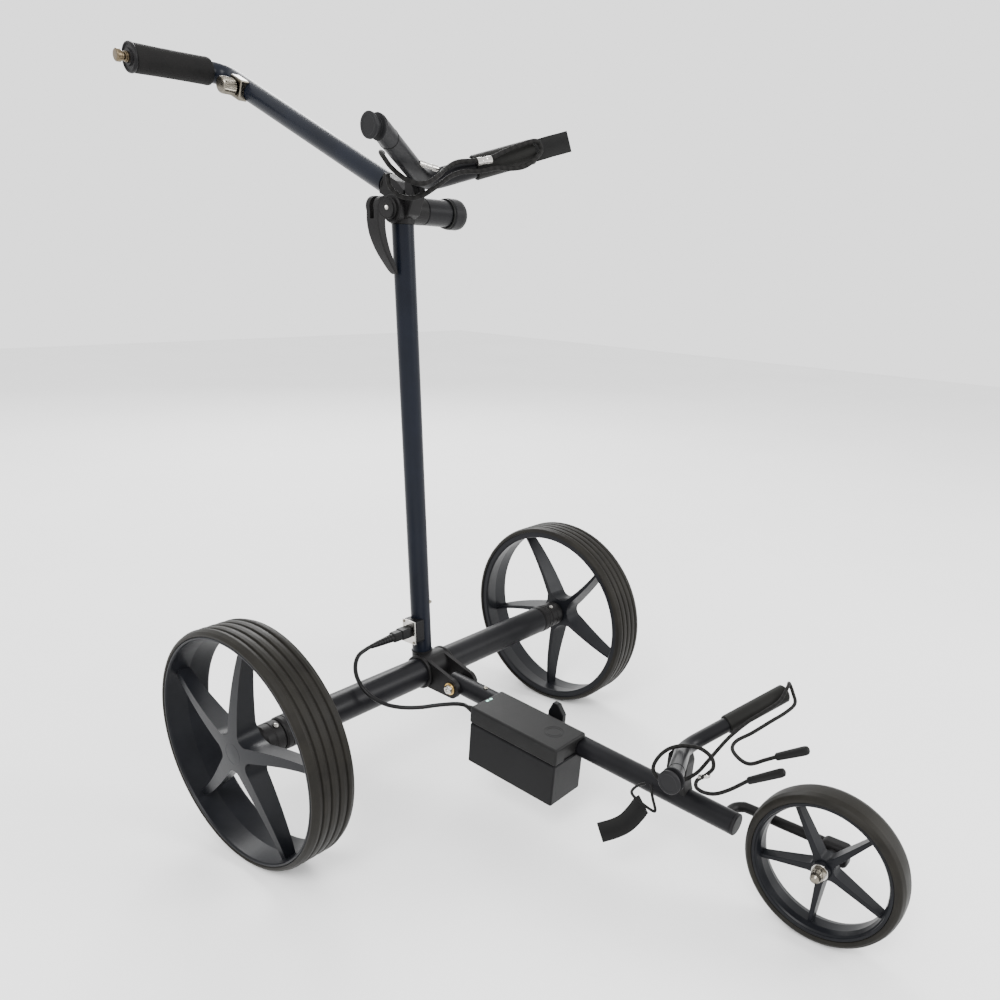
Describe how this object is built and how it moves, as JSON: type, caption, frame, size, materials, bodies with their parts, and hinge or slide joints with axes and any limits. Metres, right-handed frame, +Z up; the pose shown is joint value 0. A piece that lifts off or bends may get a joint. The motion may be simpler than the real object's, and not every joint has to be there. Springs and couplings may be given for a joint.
{
  "type": "electric golf trolley",
  "caption": "Folding powered golf bag trolley with a tubular axle, two drive wheels, a single front wheel, V-shaped bag rests, a battery box and a bent tiller handle.",
  "frame": {"origin": "on the floor, under the middle of the trolley", "axes": "+X along the rear axle to the trolley's left, +Y back towards the handle grip, +Z up"},
  "size_m": [0.6066, 1.0592, 0.9113],
  "materials": {
    "black_metal": "fine matt black powder coat",
    "motor_steel": "plain machined, hidden",
    "bright_steel": "bright plated, slightly worn",
    "black_plastic": "fine moulded grain",
    "tread_rubber": "satin rubber",
    "soft_rubber": "soft matt",
    "bronze_metal": "satin bronze plating",
    "cell_wrap": "shrink wrap, hidden",
    "black_textile": "woven nylon"
  },
  "bodies": {
    "chassis": {"axle_tube": "black_metal", "axle_end_ring_right": "black_metal", "axle_end_ring_left": "black_metal", "motor_right": "motor_steel", "motor_left": "motor_steel", "hub_casting": "black_metal", "column_tube": "black_metal", "column_head": "black_metal", "head_barrel_tube": "black_metal", "head_barrel_cap": "soft_rubber", "clamp_skewer": "bright_steel", "lever_pin": "bright_steel", "power_socket": "black_plastic", "socket_flange": "bright_steel", "battery_plug": "black_plastic", "fold_bolt": "bright_steel", "upper_support_tube": "black_metal", "upper_support_spool": "black_metal", "upper_support_sleeve": "soft_rubber", "upper_webbing": "black_textile", "upper_shock_cord": "black_textile"},
    "wheel_right": {"rim_right": "black_plastic", "tyre_right": "tread_rubber", "drive_coupling_right": "black_metal"},
    "wheel_left": {"rim_left": "black_plastic", "tyre_left": "tread_rubber", "drive_coupling_left": "black_metal"},
    "button_right": {"release_button_right": "bright_steel"},
    "button_left": {"release_button_left": "bright_steel"},
    "lever": {"clamp_lever": "black_metal"},
    "handle": {"handle_lug": "black_metal", "handle_tube": "black_metal", "grip": "soft_rubber", "grip_end_cap": "black_metal", "accessory_saddle": "bright_steel"},
    "speed_push": {"speed_stem": "bronze_metal"},
    "speed_turn": {"speed_knob": "bronze_metal"},
    "accessory_screw": {"accessory_knob": "bright_steel"},
    "frame": {"frame_tube": "black_metal", "frame_end_cap": "black_plastic", "battery_case": "black_plastic", "battery_lid": "black_plastic", "battery_cells": "cell_wrap", "battery_latch": "black_plastic", "battery_gland": "soft_rubber", "battery_lead": "black_plastic", "lower_support_bracket": "black_metal", "lower_support_tube": "black_metal", "lower_support_spool": "black_metal", "lower_support_sleeve": "soft_rubber", "lower_shock_cord": "black_textile", "cord_tab_a": "soft_rubber", "cord_tab_b": "soft_rubber", "strap_ring": "bright_steel", "lower_strap": "black_textile", "front_arm": "black_metal", "front_axle": "bright_steel", "front_axle_nut": "bright_steel"},
    "front_wheel": {"front_rim": "black_plastic", "front_tyre": "tread_rubber"}
  },
  "joints": [
    {"name": "wheel_right_spin", "type": "hinge", "parent": "chassis", "child": "wheel_right", "pos_m": [-0.2758, 0.1449, 0.145], "axis": [1, 0, 0], "continuous": true},
    {"name": "wheel_left_spin", "type": "hinge", "parent": "chassis", "child": "wheel_left", "pos_m": [0.2758, 0.1449, 0.145], "axis": [1, 0, 0], "continuous": true},
    {"name": "button_right_press", "type": "slide", "parent": "wheel_right", "child": "button_right", "axis": [0, 0.4384, -0.8988], "range_m": [0, 0.0018], "stiffness_N_per_m": 800, "springref_m": -0.0012},
    {"name": "button_left_press", "type": "slide", "parent": "wheel_left", "child": "button_left", "axis": [0, 0.4384, -0.8988], "range_m": [0, 0.0018], "stiffness_N_per_m": 800, "springref_m": -0.0012},
    {"name": "frame_fold", "type": "hinge", "parent": "chassis", "child": "frame", "pos_m": [0, 0.0899, 0.136], "axis": [1, 0, 0], "range_deg": [-85, 0], "deforming": ["battery_lead"]},
    {"name": "front_wheel_spin", "type": "hinge", "parent": "frame", "child": "front_wheel", "pos_m": [0.004, -0.4398, 0.0898], "axis": [1, 0, 0], "continuous": true},
    {"name": "handle_fold", "type": "hinge", "parent": "chassis", "child": "handle", "pos_m": [0, 0.1734, 0.7315], "axis": [1, 0, 0], "range_deg": [-80, 0]},
    {"name": "clamp_lever_swing", "type": "hinge", "parent": "chassis", "child": "lever", "pos_m": [-0.034, 0.1734, 0.7315], "axis": [0, 1, 0], "range_deg": [0, 100]},
    {"name": "speed_push", "type": "slide", "parent": "handle", "child": "speed_push", "axis": [0.9975, -0.069, 0.015], "range_m": [0, 0.0012], "stiffness_N_per_m": 1500, "springref_m": -0.001},
    {"name": "speed_turn", "type": "hinge", "parent": "speed_push", "child": "speed_turn", "pos_m": [-0.13496, 0.51344, 0.89327], "axis": [-0.9975, 0.069, -0.015], "range_deg": [-135, 135]},
    {"name": "accessory_screw_turn", "type": "hinge", "parent": "handle", "child": "accessory_screw", "pos_m": [-0.03, 0.4569, 0.8745], "axis": [-1, 0, 0], "continuous": true}
  ]
}
